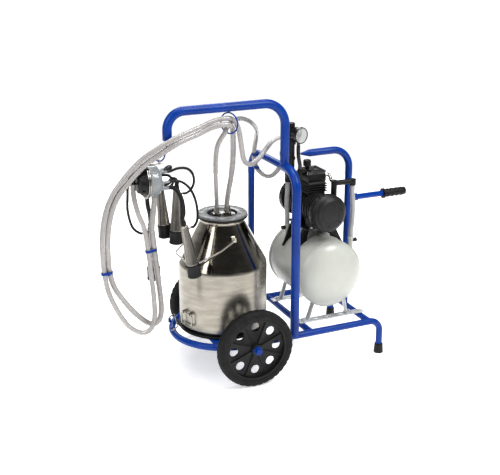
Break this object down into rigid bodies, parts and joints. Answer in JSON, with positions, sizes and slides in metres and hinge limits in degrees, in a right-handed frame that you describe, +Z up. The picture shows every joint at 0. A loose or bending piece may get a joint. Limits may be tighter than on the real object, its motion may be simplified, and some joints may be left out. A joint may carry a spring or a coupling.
{
  "type": "mobile milking machine",
  "caption": "Mobile milking machine: tube trolley carrying a stainless milk bucket, a vacuum tank with a piston pump, a gauge, clear hoses and a hanging milking cluster.",
  "frame": {"origin": "on the floor under the middle of the trolley with its cluster, hoses left out", "axes": "+X from the bucket end to the pull handle, +Y across to the far wheel, +Z up"},
  "size_m": [1.2495, 0.5586, 0.988],
  "materials": {
    "blue_paint": "glossy blue enamel on steel tube",
    "black_plastic": "moulded black plastic",
    "tyre_rubber": "solid black rubber tyre",
    "bucket_steel": "polished and satin stainless sheet",
    "bright_steel": "bright stainless",
    "zinc_plate": "zinc-plated sheet steel",
    "white_paint": "white powder coat",
    "black_paint": "black powder coat",
    "pump_black": "black painted casting",
    "cover_plastic": "grained black plastic cover",
    "black_rubber": "black food-grade rubber",
    "grey_hose": "grey suction hose",
    "clear_hose": "milky translucent vinyl hose",
    "clear_plastic": "clear polycarbonate",
    "lid_plastic": "smoke-grey clear plastic",
    "dial_case": "dark enamelled gauge case",
    "machined_steel": "ground steel",
    "copper_winding": "varnished copper winding on a steel stack"
  },
  "bodies": {
    "frame": {"base_tube": "blue_paint", "crossbars": "blue_paint", "hoop_near_tube": "blue_paint", "hoop_far_tube": "blue_paint", "arch_tube": "blue_paint", "rear_arch_tube": "blue_paint", "axle_stubs": "blue_paint", "cradle_straps": "blue_paint", "bucket_mat": "black_rubber", "tank_rails": "zinc_plate", "handle_tube": "blue_paint", "handle_grip": "black_rubber", "foot_caps": "black_rubber", "claw_hook": "blue_paint", "hose_ring": "blue_paint", "axle_caps": "blue_paint", "tank_shell": "white_paint", "tank_legs": "zinc_plate", "tank_ports": "white_paint", "pump_cradle": "black_paint", "pump_housing": "pump_black", "motor_stator": "copper_winding", "shaft_bearings": "machined_steel", "end_cover_near": "cover_plastic", "end_cover_far": "cover_plastic", "cylinder_block": "pump_black", "cylinder_head": "pump_black", "inlet_filter": "black_plastic", "head_pipe": "bright_steel", "suction_manifolds": "black_plastic", "suction_hoses": "grey_hose", "regulator_body": "black_plastic", "gauge_case": "dial_case", "milk_hose": "clear_hose", "pulse_hose": "clear_hose", "vacuum_hose": "clear_hose"},
    "near_wheel": {"wheel_near": "black_plastic", "tyre_near": "tyre_rubber"},
    "far_wheel": {"wheel_far": "black_plastic", "tyre_far": "tyre_rubber"},
    "rotor": {"rotor_shaft": "machined_steel", "cooling_fans": "black_plastic"},
    "pistons": {"wobble_pistons": "machined_steel"},
    "bucket": {"bucket": "bucket_steel", "bucket_lugs": "bucket_steel"},
    "lid": {"bucket_lid": "lid_plastic", "lid_gasket": "black_rubber", "lid_nipples": "bright_steel"},
    "bail": {"bucket_bail": "bright_steel"},
    "loop": {"tipping_loop": "bright_steel"},
    "latch": {"latch_wire": "zinc_plate"},
    "near_tap": {"tap_near": "black_plastic"},
    "far_tap": {"tap_far": "black_plastic"},
    "knob": {"regulator_knob": "black_plastic"},
    "needle": {"gauge_needle": "black_plastic"},
    "cluster": {"claw_bowl": "clear_plastic", "claw_cap": "black_plastic", "cup_shells": "bright_steel", "cup_liners": "black_rubber", "pulse_tubes": "black_rubber"}
  },
  "joints": [
    {"name": "near_wheel_spin", "type": "hinge", "parent": "frame", "child": "near_wheel", "pos_m": [-0.177, -0.24, 0.141], "axis": [0, 1, 0], "continuous": true},
    {"name": "far_wheel_spin", "type": "hinge", "parent": "frame", "child": "far_wheel", "pos_m": [-0.177, 0.24, 0.141], "axis": [0, 1, 0], "continuous": true},
    {"name": "rotor_spin", "type": "hinge", "parent": "frame", "child": "rotor", "pos_m": [0.163, 0, 0.56], "axis": [0, 1, 0], "continuous": true},
    {"name": "piston_stroke", "type": "slide", "parent": "frame", "child": "pistons", "axis": [0, 0, 1], "range_m": [-0.007, 0.007]},
    {"name": "bucket_lift", "type": "slide", "parent": "frame", "child": "bucket", "axis": [0, 0, 1], "range_m": [0, 0.06], "deforming": ["milk_hose", "vacuum_hose"]},
    {"name": "lid_lift", "type": "slide", "parent": "bucket", "child": "lid", "axis": [0, 0, 1], "range_m": [0, 0.04]},
    {"name": "bail_swing", "type": "hinge", "parent": "bucket", "child": "bail", "pos_m": [-0.201, 0, 0.505], "axis": [0, 1, 0], "range_deg": [0, 85]},
    {"name": "loop_swing", "type": "hinge", "parent": "bucket", "child": "loop", "pos_m": [-0.35849, -0.04631, 0.231], "axis": [-0.2756, 0.9613, 0], "range_deg": [0, 100]},
    {"name": "latch_swing", "type": "hinge", "parent": "frame", "child": "latch", "pos_m": [-0.38632, 0.05073, 0.1545], "axis": [-0.2588, -0.9659, 0], "range_deg": [0, 120]},
    {"name": "near_tap_turn", "type": "hinge", "parent": "frame", "child": "near_tap", "pos_m": [0.303, -0.08, 0.426], "axis": [1, 0, 0], "range_deg": [0, 90]},
    {"name": "far_tap_turn", "type": "hinge", "parent": "frame", "child": "far_tap", "pos_m": [0.079, 0.06, 0.462], "axis": [-1, 0, 0], "range_deg": [0, 90]},
    {"name": "knob_turn", "type": "hinge", "parent": "frame", "child": "knob", "pos_m": [0.065, -0.008, 0.862], "axis": [0, 0, 1], "range_deg": [0, 270]},
    {"name": "needle_sweep", "type": "hinge", "parent": "frame", "child": "needle", "pos_m": [0.086, -0.05, 0.838], "axis": [-0.2588, 0.9659, 0], "range_deg": [0, 270]},
    {"name": "cluster_lift", "type": "slide", "parent": "frame", "child": "cluster", "axis": [0, 0, 1], "range_m": [0, 0.003], "deforming": ["pulse_hose"]}
  ]
}
